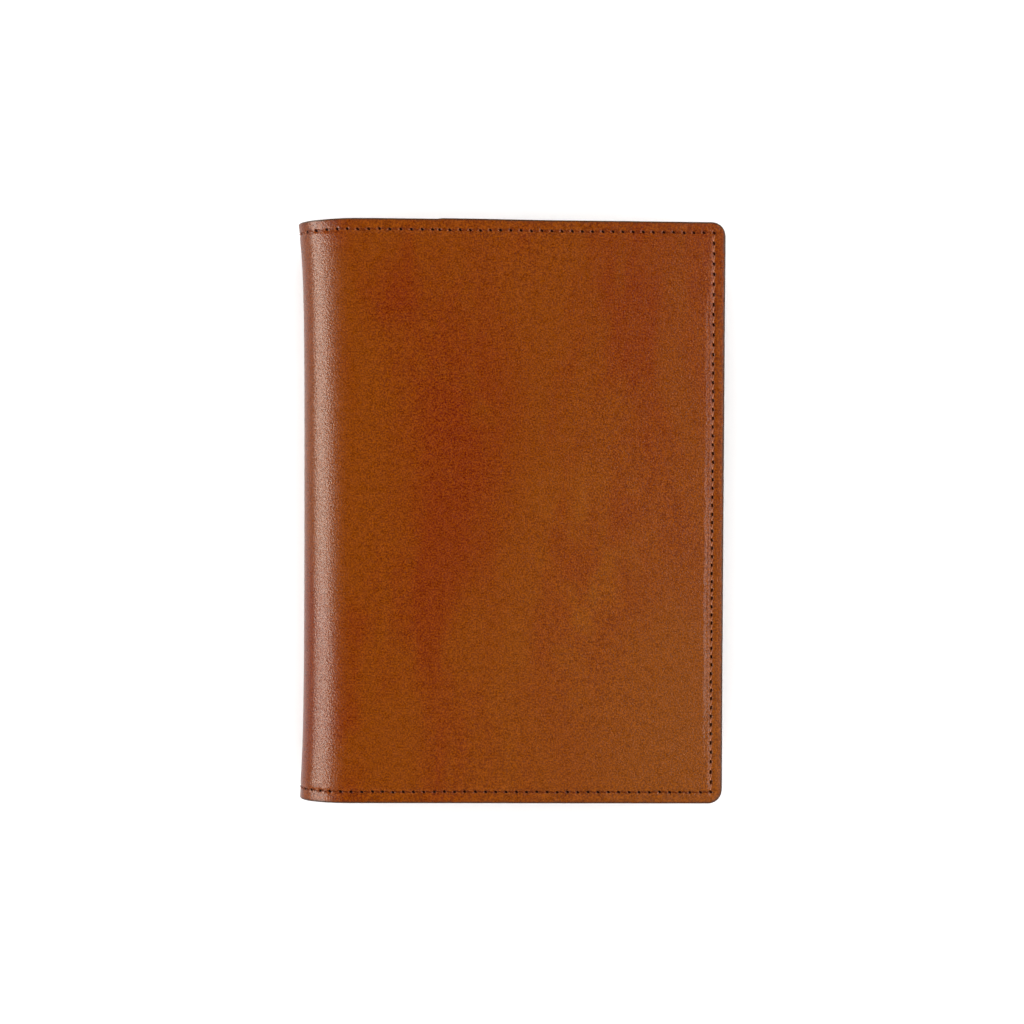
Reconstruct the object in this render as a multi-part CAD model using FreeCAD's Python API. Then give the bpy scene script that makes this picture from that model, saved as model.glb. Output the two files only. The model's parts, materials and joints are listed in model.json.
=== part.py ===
"""A stitched leather cover closed around a softcover A6 notebook.

It lies on its back cover: X runs from the spine to the fore-edge, Y from tail to head and
Z up through the thickness. The origin is under the middle of the bounding box. All sizes
are in millimetres.

The back cover, with what it carries, is built first in a level frame. The front cover is
the same build, mirrored to the top and tipped down towards the fore-edge. The rounded
spine between them is two halves that meet at its crown.
"""
import FreeCAD, Part
import math
import os

from FreeCAD import Vector

# ---------------------------------------------------------------- driving dimensions
cover_height = 163.0
cover_width = 118.4
closed_thickness = 20.0
spine_depth = 13.8
shoulder_turn = 30.0
front_slope = 1.7
corner_radius = 3.9

outer_thickness = 1.2
lining_thickness = 0.5
pocket_thickness = 1.2
pocket_depth = 80.1
pocket_rim = 3.6
pocket_lip = 2.5

thread_radius = 0.19
stitch_pitch = 2.91
fore_stitch_pitch = 2.53
stitch_length = 2.1
stitch_margin = 2.93
groove_width = 0.55
groove_depth = 0.5

card_thickness = 0.6
card_height = 148.0
card_width = 105.0
card_overhang = 0.4
card_gap = 0.08
card_ramp_gap = 3.0
card_ramp_length = 10.0
page_height = 147.0
endpaper_thickness = 0.15
signatures_per_half = 5

glue_gap = 0.02
slip_gap = 0.05
page_gap = 0.03
halves_gap = 0.15
hinge_gap = 0.04
overrun = 1.0

# ---------------------------------------------------------------- derived places
crown_x = -cover_width / 2
fore_edge_x = cover_width / 2
flat_start_x = crown_x + spine_depth
mid_z = closed_thickness / 2

sine = math.sin(math.radians(shoulder_turn))
cosine = math.cos(math.radians(shoulder_turn))
shoulder_radius = (spine_depth * cosine - mid_z * (1 - sine)) / (
    sine * cosine - (1 - sine) * (1 - cosine))
nose_radius = (spine_depth - shoulder_radius * sine) / (1 - sine)

lining_offset = outer_thickness + glue_gap
lining_top = lining_offset + lining_thickness
card_bottom = lining_top + slip_gap
pocket_bottom = card_bottom + card_thickness + slip_gap
pocket_top = pocket_bottom + pocket_thickness
pages_bottom = pocket_top + 2 * slip_gap + endpaper_thickness
pocket_mouth_x = fore_edge_x - pocket_depth

nose_centre_x = crown_x + nose_radius
card_spine_offset = lining_top + card_gap
card_fore_x = crown_x + card_spine_offset + card_width
pages_fore_x = card_fore_x - card_overhang
pages_round = mid_z - pages_bottom

slope = math.radians(front_slope)
half_height = cover_height / 2
stitch_row_y = half_height - stitch_margin


# ---------------------------------------------------------------- the cover's outline
def on_shoulder(offset, turn):
    """Point of a layer, so deep under the outer face, where the shoulder has turned so far."""
    radius = shoulder_radius - offset
    angle = math.radians(turn)
    return Vector(flat_start_x - radius * math.sin(angle), 0,
                  shoulder_radius - radius * math.cos(angle))


def on_nose(offset, turn):
    """The same on the nose of the spine: 90 degrees is its crown."""
    radius = nose_radius - offset
    angle = math.radians(turn)
    return Vector(crown_x + nose_radius - radius * math.sin(angle), 0,
                  mid_z - radius * math.cos(angle))


def line(start, end):
    return Part.LineSegment(start, end).toShape()


def arc(start, middle, end):
    return Part.Arc(start, middle, end).toShape()


def extruded(edges, height):
    """Solid with this closed outline in the XZ plane, centred on Y = 0."""
    face = Part.Face(Part.Wire(edges))
    face.translate(Vector(0, -height / 2, 0))
    return face.extrude(Vector(0, height, 0))


def polygon_solid(corners, height):
    points = [Vector(x, 0, z) for x, z in corners]
    return extruded([line(a, b) for a, b in zip(points, points[1:] + points[:1])], height)


def box(x_range, y_range, z_range):
    size = [high - low for low, high in (x_range, y_range, z_range)]
    return Part.makeBox(*size, Vector(x_range[0], y_range[0], z_range[0]))


def panel_layer(near, far, turn, end_x):
    """Layer of a cover: flat from its fore-edge, then up the shoulder by this turn."""
    stop = turn - math.degrees(hinge_gap / shoulder_radius)
    flat_near = Vector(flat_start_x, 0, near)
    flat_far = Vector(flat_start_x, 0, far)
    edges = [
        line(Vector(end_x, 0, near), flat_near),
        arc(flat_near, on_shoulder(near, stop / 2), on_shoulder(near, stop)),
        line(on_shoulder(near, stop), on_shoulder(far, stop)),
        arc(on_shoulder(far, stop), on_shoulder(far, stop / 2), flat_far),
        line(flat_far, Vector(end_x, 0, far)),
        line(Vector(end_x, 0, far), Vector(end_x, 0, near)),
    ]
    return extruded(edges, cover_height)


def nose_layer(near, far, start, stop):
    """Layer of the spine's nose between two turns."""
    gap = math.degrees(hinge_gap / nose_radius)
    start += gap
    stop -= gap
    middle = (start + stop) / 2
    edges = [
        arc(on_nose(near, start), on_nose(near, middle), on_nose(near, stop)),
        line(on_nose(near, stop), on_nose(far, stop)),
        arc(on_nose(far, stop), on_nose(far, middle), on_nose(far, start)),
        line(on_nose(far, start), on_nose(near, start)),
    ]
    return extruded(edges, cover_height)


def rounded_at_fore_edge(solid, end_x):
    """The solid with its two corners at this end rounded in plan."""
    blank = box((crown_x, end_x), (-half_height, half_height), (-overrun, closed_thickness))
    corners = [edge for edge in blank.Edges
               if all(abs(v.X - end_x) < 1e-6 for v in edge.Vertexes)
               and abs(edge.Vertexes[0].Z - edge.Vertexes[1].Z) > mid_z]
    return solid.common(blank.makeFillet(corner_radius, corners))


# ---------------------------------------------------------------- stitching
def stitch(centre, direction):
    return Part.makeCylinder(thread_radius, stitch_length,
                             centre - direction * (stitch_length / 2), direction)


def evenly(length, pitch=stitch_pitch):
    """Middles of the stitches that share out this length."""
    count = round(length / pitch)
    return [(i + 0.5) * length / count for i in range(count)]


def at_row(point, side):
    return Vector(point.x, side * stitch_row_y, point.z)


def panel_stitches(offset_at, turn, end_x):
    """Head, tail and fore-edge rows of a cover; offset_at(x) is how deep they lie."""
    corner_x = end_x - stitch_margin
    flat_length = corner_x - flat_start_x
    row_length = flat_length + math.radians(turn) * shoulder_radius
    stitches = []
    for distance in evenly(row_length):
        if distance < flat_length:
            x = corner_x - distance
            depth = offset_at(x)
            centre, direction = Vector(x, 0, depth), Vector(-1, 0, 0)
        else:
            depth = offset_at(flat_start_x)
            turned = math.degrees((distance - flat_length) / shoulder_radius)
            angle = math.radians(turned)
            centre = on_shoulder(depth, turned)
            direction = Vector(-math.cos(angle), 0, math.sin(angle))
        stitches += [stitch(at_row(centre, side), direction) for side in (-1, 1)]
    for distance in evenly(2 * stitch_row_y, fore_stitch_pitch):
        centre = Vector(corner_x, distance - stitch_row_y, offset_at(corner_x))
        stitches.append(stitch(centre, Vector(0, 1, 0)))
    return Part.makeCompound(stitches)


def nose_stitches(offset, start, stop):
    stitches = []
    span = math.radians(stop - start)
    for distance in evenly(span * nose_radius):
        turned = start + math.degrees(distance / nose_radius)
        angle = math.radians(turned)
        direction = Vector(-math.cos(angle), 0, math.sin(angle))
        centre = on_nose(offset, turned)
        stitches += [stitch(at_row(centre, side), direction) for side in (-1, 1)]
    return stitches


def groove_band(layer):
    """The two strips of a full-height layer that lie along the head and tail rows."""
    strips = []
    for side in (-1, 1):
        middle = side * stitch_row_y
        strips.append(box((crown_x - overrun, fore_edge_x + overrun),
                          (middle - groove_width / 2, middle + groove_width / 2),
                          (-overrun, closed_thickness + overrun)))
    return layer.common(Part.makeCompound(strips))


# ---------------------------------------------------------------- leather layers
def outer_panel(turn, end_x):
    corner_x = end_x - stitch_margin
    blank = rounded_at_fore_edge(panel_layer(0, outer_thickness, turn, end_x), end_x)
    rows = groove_band(panel_layer(0, groove_depth, turn, corner_x))
    column = box((corner_x - groove_width / 2, corner_x + groove_width / 2),
                 (-stitch_row_y - groove_width / 2, stitch_row_y + groove_width / 2),
                 (0, groove_depth))
    return blank.cut(rows).cut(column)


def lining_panel(turn, end_x):
    layer = panel_layer(lining_offset, lining_top, turn, end_x)
    return rounded_at_fore_edge(layer, end_x)


def pocket(end_x):
    """Sleeve along the fore-edge: a sheet sewn down on three sides, open to the spine."""
    mouth_x = end_x - pocket_depth
    sheet = box((mouth_x, end_x), (-half_height, half_height), (pocket_bottom, pocket_top))
    rim = box((mouth_x, end_x), (-half_height, half_height), (lining_top, pocket_bottom))
    room = box((mouth_x - overrun, end_x - pocket_rim),
               (pocket_rim - half_height, half_height - pocket_rim),
               (lining_top - overrun, pocket_bottom))
    sleeve = sheet.fuse(rim.cut(room)).removeSplitter()
    return rounded_at_fore_edge(sleeve, end_x)


# ---------------------------------------------------------------- the notebook
def card_panel(turn):
    """Notebook cover: flat in the pocket, up to the pages, then round to the hinge line."""
    near = card_spine_offset
    far = near + card_thickness
    ramp_end = pocket_mouth_x - card_ramp_gap
    ramp_start = ramp_end - card_ramp_length
    stop = turn - math.degrees(hinge_gap / nose_radius)
    points = [Vector(x, 0, z) for x, z in (
        (nose_centre_x, mid_z - nose_radius + near),
        (ramp_start, mid_z - nose_radius + near),
        (ramp_end, card_bottom),
        (card_fore_x, card_bottom),
        (card_fore_x, card_bottom + card_thickness),
        (ramp_end, card_bottom + card_thickness),
        (ramp_start, mid_z - nose_radius + far),
        (nose_centre_x, mid_z - nose_radius + far),
    )]
    edges = [line(a, b) for a, b in zip(points, points[1:])]
    edges += [
        arc(points[-1], on_nose(far, stop / 2), on_nose(far, stop)),
        line(on_nose(far, stop), on_nose(near, stop)),
        arc(on_nose(near, stop), on_nose(near, stop / 2), points[0]),
    ]
    return extruded(edges, card_height)


def pages_parting_z(x):
    """Height at which the notebook's two halves meet, half way between the covers."""
    arm = shoulder_radius - pages_bottom
    top_x = flat_start_x + arm * math.sin(slope)
    top_z = closed_thickness - shoulder_radius + arm * math.cos(slope)
    return (pages_bottom + top_z - (x - top_x) * math.tan(slope)) / 2


def page_level(x, share):
    """Height of the given share of a half block of pages, at this place along X."""
    top = pages_parting_z(x) - halves_gap / 2
    return pages_bottom + share * (top - pages_bottom)


def rounded_back():
    """Everything that lies inside the notebook's rounded spine or in front of it."""
    room = box((nose_centre_x, fore_edge_x), (-half_height, half_height),
               (0, closed_thickness))
    back = Part.makeCylinder(pages_round, cover_height,
                             Vector(nose_centre_x, -half_height, mid_z), Vector(0, 1, 0))
    return room.fuse(back)


def signature(index):
    """One folded gathering, its fold trimmed to the notebook's rounded back."""
    low_share = index / signatures_per_half
    high_share = (index + 1) / signatures_per_half
    left = nose_centre_x - pages_round
    corners = [
        (left, page_level(left, low_share)),
        (pages_fore_x, page_level(pages_fore_x, low_share)),
        (pages_fore_x, page_level(pages_fore_x, high_share) - page_gap),
        (left, page_level(left, high_share) - page_gap),
    ]
    return polygon_solid(corners, page_height).common(rounded_back())


def endpaper():
    z = pages_bottom - slip_gap / 2 - endpaper_thickness
    left = pocket_mouth_x - pocket_lip
    return box((left, pages_fore_x), (-page_height / 2, page_height / 2),
               (z, z + endpaper_thickness))


# ---------------------------------------------------------------- bodies
def cover_half(turn, end_x):
    """A cover with its pocket, its thread and its half of the notebook, lying level."""
    inner_stitch_gap = thread_radius + slip_gap

    def inner_offset(x):
        on_pocket = x > end_x - pocket_depth
        return (pocket_top if on_pocket else lining_top) + inner_stitch_gap

    outer_thread = panel_stitches(lambda x: groove_depth / 2, turn, end_x)
    inner_thread = panel_stitches(inner_offset, turn, end_x)
    mouth_x = end_x - pocket_depth
    step = box((mouth_x - stitch_length, mouth_x + stitch_length),
               (-half_height, half_height), (0, mid_z))
    kept = [piece for piece in inner_thread.Solids if piece.common(step).Volume < 1e-6]
    pieces = {
        "outer": outer_panel(turn, end_x),
        "lining": lining_panel(turn, end_x),
        "pocket": pocket(end_x),
        "thread_outside": outer_thread,
        "thread_inside": Part.makeCompound(kept),
        "card": card_panel(turn),
        "endpaper": endpaper(),
    }
    for index in range(signatures_per_half):
        pieces[f"signature_{index + 1}"] = signature(index)
    return pieces


def spine_half():
    """The lower half of the spine, from the back cover's hinge line to the crown."""
    start, stop = shoulder_turn, 90
    outer = nose_layer(0, outer_thickness, start, stop)
    spare = math.degrees(overrun / nose_radius)
    outer = outer.cut(groove_band(nose_layer(0, groove_depth, start - spare, stop + spare)))
    card = nose_layer(card_spine_offset, card_spine_offset + card_thickness, start, stop)
    card_room = box((crown_x, fore_edge_x), (-card_height / 2, card_height / 2),
                    (0, closed_thickness))
    chord_rise = stitch_length ** 2 / (8 * nose_radius)
    return {
        "outer_spine": outer,
        "lining_spine": nose_layer(lining_offset, lining_top, start, stop),
        "thread_outside_spine": Part.makeCompound(
            nose_stitches(groove_depth / 2 + chord_rise / 2, start, stop)),
        "thread_inside_spine": Part.makeCompound(
            nose_stitches(lining_top + thread_radius + 2 * chord_rise, start, stop)),
        "card_spine": card.common(card_room),
    }


def mirrored_up(shape):
    """The same piece on the upper side of the middle plane."""
    return shape.mirror(Vector(0, 0, mid_z), Vector(0, 0, 1))


def tipped(shape):
    """A piece of the front cover, tipped about the centre of its shoulder."""
    tilted = shape.copy()
    centre = Vector(flat_start_x, 0, closed_thickness - shoulder_radius)
    tilted.rotate(centre, Vector(0, 1, 0), front_slope)
    return tilted


front_fore_edge_x = flat_start_x + (
    fore_edge_x - flat_start_x - shoulder_radius * math.sin(slope)) / math.cos(slope)

nodes = {}
for name, shape in cover_half(shoulder_turn, fore_edge_x).items():
    nodes[f"{name}_back"] = shape
for name, shape in cover_half(shoulder_turn + front_slope, front_fore_edge_x).items():
    nodes[f"{name}_front"] = tipped(mirrored_up(shape))
for name, shape in spine_half().items():
    nodes[f"{name}_lower"] = shape
    nodes[f"{name}_upper"] = mirrored_up(shape)

os.makedirs("parts", exist_ok=True)
for name, shape in nodes.items():
    shape.exportStep(f"parts/{name}.step")

for label, turn in (("back hinge", shoulder_turn), ("crown", 90),
                    ("front hinge", 180 - shoulder_turn)):
    pivot = on_nose(0, turn)
    print(f"{label}: x {pivot.x:.4f}  z {pivot.z:.4f}")
print(f"shoulder radius {shoulder_radius:.3f}, nose radius {nose_radius:.3f}")
print(f"pages: fore-edge at x {pages_fore_x:.2f}, bottom {pages_bottom:.2f}, "
      f"thickness {2 * (pages_parting_z(nose_centre_x) - pages_bottom):.2f} at the spine, "
      f"{2 * (pages_parting_z(pages_fore_x) - pages_bottom):.2f} at the fore-edge")
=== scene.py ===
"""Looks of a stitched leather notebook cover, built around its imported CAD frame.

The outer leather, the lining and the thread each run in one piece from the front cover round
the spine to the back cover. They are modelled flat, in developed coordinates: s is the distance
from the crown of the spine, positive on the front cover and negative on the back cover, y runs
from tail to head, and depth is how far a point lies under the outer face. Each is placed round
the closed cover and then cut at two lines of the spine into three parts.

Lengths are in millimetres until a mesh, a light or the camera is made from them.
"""

import json
import math

import bmesh
import bpy
import numpy as np
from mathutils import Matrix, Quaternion, Vector
from mathutils.geometry import delaunay_2d_cdt
from mathutils.kdtree import KDTree


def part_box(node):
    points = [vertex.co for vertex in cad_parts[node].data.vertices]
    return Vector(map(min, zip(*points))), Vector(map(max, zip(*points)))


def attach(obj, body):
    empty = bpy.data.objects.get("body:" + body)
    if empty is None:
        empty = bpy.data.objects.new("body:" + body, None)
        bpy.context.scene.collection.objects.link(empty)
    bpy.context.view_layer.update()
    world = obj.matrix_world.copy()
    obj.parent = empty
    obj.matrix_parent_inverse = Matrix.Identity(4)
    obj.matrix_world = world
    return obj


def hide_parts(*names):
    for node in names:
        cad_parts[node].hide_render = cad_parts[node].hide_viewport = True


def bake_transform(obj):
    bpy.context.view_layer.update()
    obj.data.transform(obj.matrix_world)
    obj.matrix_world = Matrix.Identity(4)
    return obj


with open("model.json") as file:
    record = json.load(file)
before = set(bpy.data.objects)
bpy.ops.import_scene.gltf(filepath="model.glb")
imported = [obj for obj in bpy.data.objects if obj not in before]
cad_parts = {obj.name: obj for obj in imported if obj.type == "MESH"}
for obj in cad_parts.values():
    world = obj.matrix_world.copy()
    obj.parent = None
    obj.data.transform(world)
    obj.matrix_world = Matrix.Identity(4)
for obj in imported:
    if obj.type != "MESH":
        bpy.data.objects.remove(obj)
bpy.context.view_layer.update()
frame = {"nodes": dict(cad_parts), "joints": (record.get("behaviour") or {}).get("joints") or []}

MM = 0.001
SEED = 7
random = np.random.default_rng(SEED)

# ------------------------------------ sizes from the frame
joints = {joint["name"]: joint for joint in frame["joints"]}
HINGE_X, _, HINGE_Z = [value / MM for value in joints["back_hinge"]["pos_m"]]
CROWN_X, _, MID_Z = [value / MM for value in joints["crown_hinge"]["pos_m"]]
FORE_X, HALF_H, _ = [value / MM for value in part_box("outer_back")[1]]
HINGE_TURN = math.radians(60)  # from the crown round to each outer hinge
NOSE_R = (HINGE_X - CROWN_X) / (1 - math.cos(HINGE_TURN))
SHOULDER_R = HINGE_Z / (1 - math.sin(HINGE_TURN))
NOSE_X = CROWN_X + NOSE_R
FLAT_X = HINGE_X + SHOULDER_R * math.cos(HINGE_TURN)
SLOPE = math.radians(1.7)  # the front cover falls towards the fore-edge

# developed distances: where the nose of the spine ends and where each cover begins and ends
NOSE_S = HINGE_TURN * NOSE_R
BACK_FLAT_S = NOSE_S + (math.pi / 2 - HINGE_TURN) * SHOULDER_R
FRONT_FLAT_S = BACK_FLAT_S + SLOPE * SHOULDER_R
BACK_END = BACK_FLAT_S + FORE_X - FLAT_X
FRONT_END = FRONT_FLAT_S + (FORE_X - FLAT_X - SHOULDER_R * math.sin(SLOPE)) / math.cos(SLOPE)

CUT_TURN = math.radians(30)  # the sheets are cut this far round from the crown
CUT_S = CUT_TURN * NOSE_R
CORNER_R = 3.9
POCKET_DEPTH = FORE_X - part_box("pocket_back")[0][0] / MM

# depths of the two faces of each layer; the pocket's thickness, gap below it and lift
OUTER = (0.0, 1.2)
LINING = (1.22, 1.72)
CARD = (1.80, 2.40)
POCKET_LEATHER = 1.2
POCKET_GAP = 0.02
POCKET_LIFT = 0.7

# rows of holes: distance to the edge, lengths of stitches, and the fore-edge's pitch along y
MARGIN = 3.2
HEAD_MARGIN = 3.05
PITCH = 2.86
SPINE_PITCH = 3.0
MOUTH_STITCH = 1.9
FORE_STITCHES = 62
FORE_PITCH = ((-82, -70, -60, -25, 0, 35, 50, 82),
              (2.88, 2.80, 2.42, 2.30, 2.40, 2.50, 2.80, 2.90))

SHARP_ANGLE = math.radians(40)
COARSE = 2.4  # spacing of a sheet's points where nothing happens
CURVED = 0.6  # and on the curve of the spine
ANYWHERE = 1e9  # further than any point of the cover


# ------------------------------------ from flat to bent
def smoothstep(value, low, high):
    t = np.clip((value - low) / (high - low), 0, 1)
    return t * t * (3 - 2 * t)


def bend(s):
    """Where a developed distance lies: x, z and the outward normal's x and z."""
    side = np.where(s < 0, -1.0, 1.0)
    away = np.abs(s)
    end_turn = math.pi / 2 + np.where(s < 0, 0.0, SLOPE)
    past_nose = np.clip(away - NOSE_S, 0, None)
    on_shoulder = np.minimum(past_nose, (end_turn - HINGE_TURN) * SHOULDER_R)
    turn = np.minimum(away, NOSE_S) / NOSE_R + on_shoulder / SHOULDER_R
    flat = past_nose - on_shoulder
    out_x = -np.cos(turn)
    out_z = side * np.sin(turn)
    nose = away <= NOSE_S
    centre_x = np.where(nose, NOSE_X, FLAT_X)
    centre_z = np.where(nose, MID_Z, MID_Z + side * (MID_Z - SHOULDER_R))
    radius = np.where(nose, NOSE_R, SHOULDER_R)
    x = centre_x + radius * out_x + flat * np.sin(turn)
    z = centre_z + radius * out_z + side * flat * np.cos(turn)
    return x, z, out_x, out_z


# the spine's empty ends: how far they stand out, how fast that fades along y, and between
# which distances from the crown it fades along s
FLARE_HEAD = (1.9, 12.5, 0, 15)
FLARE_TAIL = (1.35, 16.0, 3, 24)
SPINE_LEAN = 0.0061
# the step in the head edge: its height, how it rises and fades along s, its depth along y
TRIM_STEP = 0.18
TRIM_HALF_RAMP = 0.9
TRIM_FADE = (4, 34)
TRIM_BAND = (2, 0.5)
# how far the curve of the spine pulls the head edge down, and where that fades
PULL = 0.34
PULL_FADE = (2, 26)
PULL_BAND = 22


def flare(s, y):
    """How far the spine stands out: more at its empty ends, and a little more to the head."""
    away = np.abs(s)
    head = FLARE_HEAD[0] * np.exp((y - HALF_H) / FLARE_HEAD[1]) + SPINE_LEAN * y
    tail = FLARE_TAIL[0] * np.exp((-y - HALF_H) / FLARE_TAIL[1])
    return (head * (1 - smoothstep(away, *FLARE_HEAD[2:]))
            + tail * (1 - smoothstep(away, *FLARE_TAIL[2:])))


def trim_step(s, y):
    """The head edge is trimmed a little higher where the pocket is sewn in with it, and the
    curve of the spine pulls it down."""
    past_mouth = s - (FRONT_END - POCKET_DEPTH)
    along = (smoothstep(past_mouth, -TRIM_HALF_RAMP, TRIM_HALF_RAMP)
             * (1 - smoothstep(past_mouth, *TRIM_FADE)))
    near_head = smoothstep(y, HALF_H - PULL_BAND, HALF_H)
    pulled = PULL * (1 - smoothstep(np.abs(s), *PULL_FADE)) * near_head
    return TRIM_STEP * along * smoothstep(y, *(HALF_H - v for v in TRIM_BAND)) - pulled


def place_leather(s, y, depth):
    """From developed coordinates to the shape of the closed cover."""
    x, z, out_x, out_z = bend(s)
    return np.column_stack([x - out_x * depth - flare(s, y), y + trim_step(s, y),
                            z - out_z * depth])


CARD_RAMP_END = 3.0  # from the end of the card's ramp to the pocket's mouth
CARD_RAMP = 10.0
CARD_FALL = 1.42  # how far the ramp takes it from the pages
CARD_FORE_X = FORE_X - 11.6
CARD_HALF_H = 74.0
CARD_QUARTER = math.pi / 2 * (NOSE_R - CARD[0])
CARD_END = CARD_QUARTER + CARD_FORE_X - NOSE_X


def place_card(s, y, depth):
    """The notebook's own cover: round the pages' back, then down into the pockets."""
    side = np.where(s < 0, -1.0, 1.0)
    away = np.abs(s)
    radius = NOSE_R - CARD[0]
    turn = np.minimum(away, CARD_QUARTER) / radius
    flat = np.maximum(away - CARD_QUARTER, 0)
    x = NOSE_X - (NOSE_R - depth) * np.cos(turn) + flat
    ramp_end = FORE_X - POCKET_DEPTH - CARD_RAMP_END
    fall = CARD_FALL * smoothstep(x, ramp_end - CARD_RAMP, ramp_end)
    rise = (NOSE_R - depth) * np.sin(turn) + fall
    z = MID_Z + side * rise
    tip = np.where(s < 0, 0.0, SLOPE * smoothstep(x, NOSE_X, FLAT_X))
    pivot_z = 2 * MID_Z - SHOULDER_R
    arm_x = x - FLAT_X
    arm_z = z - pivot_z
    return np.column_stack([FLAT_X + arm_x * np.cos(tip) + arm_z * np.sin(tip), y,
                            pivot_z + arm_z * np.cos(tip) - arm_x * np.sin(tip)])


def bend_back(piece):
    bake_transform(piece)


def bend_crown(piece):
    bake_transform(piece)


def bend_front(piece):
    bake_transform(piece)


PARTS = (("back", bend_back), ("crown", bend_crown), ("front", bend_front))


# ------------------------------------ meshes
def new_object(name, points, faces, attributes, material):
    """A mesh object from points in millimetres, with a value or vector kept at each point."""
    mesh = bpy.data.meshes.new(name)
    mesh.from_pydata((points * MM).tolist(), [], faces)
    for key, values in attributes.items():
        kind, field = ("FLOAT_VECTOR", "vector") if values.ndim == 2 else ("FLOAT", "value")
        attribute = mesh.attributes.new(key, kind, "POINT")
        attribute.data.foreach_set(field, values.astype(np.float32).ravel())
    mesh.shade_smooth()
    mesh.set_sharp_from_angle(angle=SHARP_ANGLE)
    mesh.materials.append(material)
    thing = bpy.data.objects.new(name, mesh)
    bpy.context.scene.collection.objects.link(thing)
    return thing


def close_ends(thing):
    """Fills the open ends that a cut leaves."""
    form = bmesh.new()
    form.from_mesh(thing.data)
    edges = [edge for edge in form.edges if edge.is_boundary]
    bmesh.ops.holes_fill(form, edges=edges, sides=0)
    form.to_mesh(thing.data)
    form.free()
    thing.data.set_sharp_from_angle(angle=SHARP_ANGLE)


OUTLINE_STEP = 0.8
CORNER_STEPS = 12


def outline(low_s, high_s, half_y, low_r, high_r, breaks):
    """Points round a sheet: an inner point, the way out to the rim and how far that is."""
    stations = []

    def straight(start, end, out):
        start, end, out = (np.array(v, float) for v in (start, end, out))
        count = max(1, round(float(np.linalg.norm(end - start)) / OUTLINE_STEP))
        for i in range(count):
            stations.append((*(start + (end - start) * i / count - out), *out, 1.0))

    def corner(s, y, radius, first):
        for i in range(CORNER_STEPS):
            angle = math.radians(first + 90 * i / CORNER_STEPS)
            stations.append((s, y, math.cos(angle), math.sin(angle), radius))

    stops = [low_s + low_r] + [b for b in breaks if low_s < b < high_s] + [high_s - high_r]
    for a, b in zip(stops[::-1], stops[-2::-1]):
        straight((a, half_y), (b, half_y), (0, 1))
    corner(low_s + low_r, half_y - low_r, low_r, 90)
    straight((low_s, half_y - low_r), (low_s, low_r - half_y), (-1, 0))
    corner(low_s + low_r, low_r - half_y, low_r, 180)
    for a, b in zip(stops, stops[1:]):
        straight((a, -half_y), (b, -half_y), (0, -1))
    corner(high_s - high_r, high_r - half_y, high_r, 270)
    straight((high_s, high_r - half_y), (high_s, half_y - high_r), (1, 0))
    corner(high_s - high_r, half_y - high_r, high_r, 0)
    return np.array(stations)


def rim(stations, inset):
    """The outline this far in from the rim."""
    return stations[:, :2] + stations[:, 2:4] * (stations[:, 4:5] - inset)


MERGE = 1e-7
INSIDE_ONLY = 1


def triangulate(loop, inner):
    """Triangles of a closed loop of points and the points inside it."""
    points = np.vstack([loop, inner])
    count = len(loop)
    edges = [(i, (i + 1) % count) for i in range(count)]
    found = delaunay_2d_cdt([Vector(p) for p in points], edges, [], INSIDE_ONLY, MERGE)
    source = [ids[0] for ids in found[3]]
    triangles = []
    for face in found[2]:
        a, b, c = (source[i] for i in face)
        cross = ((points[b][0] - points[a][0]) * (points[c][1] - points[a][1])
                 - (points[b][1] - points[a][1]) * (points[c][0] - points[a][0]))
        triangles.append((a, b, c) if cross > 0 else (a, c, b))
    return triangles


GRID_LEVELS = 4
SIZE_SLACK = 1.01  # takes up rounding when sizes are compared


def grid(low_s, high_s, half_y, size_at):
    """Nested grids of points: the finer ones are used only where size_at asks for them."""
    chosen = []
    for level in range(GRID_LEVELS):
        step = COARSE / 2 ** level
        columns = np.arange(math.ceil(low_s / step), math.floor(high_s / step) + 1)
        lines = np.arange(math.ceil(-half_y / step), math.floor(half_y / step) + 1)
        s_index, y_index = (index.ravel() for index in np.meshgrid(columns, lines))
        points = np.column_stack([s_index * step, y_index * step])
        if level:
            new = (s_index % 2 != 0) | (y_index % 2 != 0)
            points = points[new & (size_at(*points.T) <= step * SIZE_SLACK)]
        chosen.append(points)
    return np.vstack(chosen)


# ------------------------------------ rows of holes
def row_marks(short):
    """Developed distances of the holes in a row, from back to front corner; the head row has
    a short stitch at each pocket's mouth."""
    if not short:
        low, high = MARGIN - BACK_END, FRONT_END - MARGIN
        count = round((high - low) / PITCH)
        return [low + (high - low) * i / count for i in range(count + 1)]
    marks = []
    for end in (-BACK_END, FRONT_END):
        side = math.copysign(1, end)
        corner = end - side * MARGIN
        mouth = end - side * POCKET_DEPTH
        count = round(abs(corner - mouth) / PITCH)
        marks += [corner + (mouth - corner) * i / count for i in range(count + 1)]
        marks.append(mouth - side * MOUTH_STITCH)
    low, high = sorted(sorted(marks, key=abs)[:2])
    count = round((high - low) / SPINE_PITCH)
    marks += [low + (high - low) * i / count for i in range(1, count)]
    return sorted(marks)


def fore_marks():
    """Holes along a fore-edge: the feed was slower in the middle, so they crowd there."""
    ys = np.linspace(MARGIN - HALF_H, HALF_H - HEAD_MARGIN, 400)
    passed = np.concatenate([[0], np.cumsum(np.diff(ys) / np.interp(ys[1:], *FORE_PITCH))])
    return np.interp(np.linspace(0, passed[-1], FORE_STITCHES + 1), passed, ys)


# degrees at which the slits lean: head, tail, front fore-edge, back fore-edge; those along the
# fore-edges turn a little more with y
HEAD_LEAN, TAIL_LEAN = -38, -24
FORE_LEANS = (95, 85)
LEAN_CHANGE = 0.14
LEAN_ERROR = 5
HOLE_ERROR = 0.045
ROW_SLIT = (0.42, 0.31)
FORE_SLIT = (0.52, 0.24)


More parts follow.
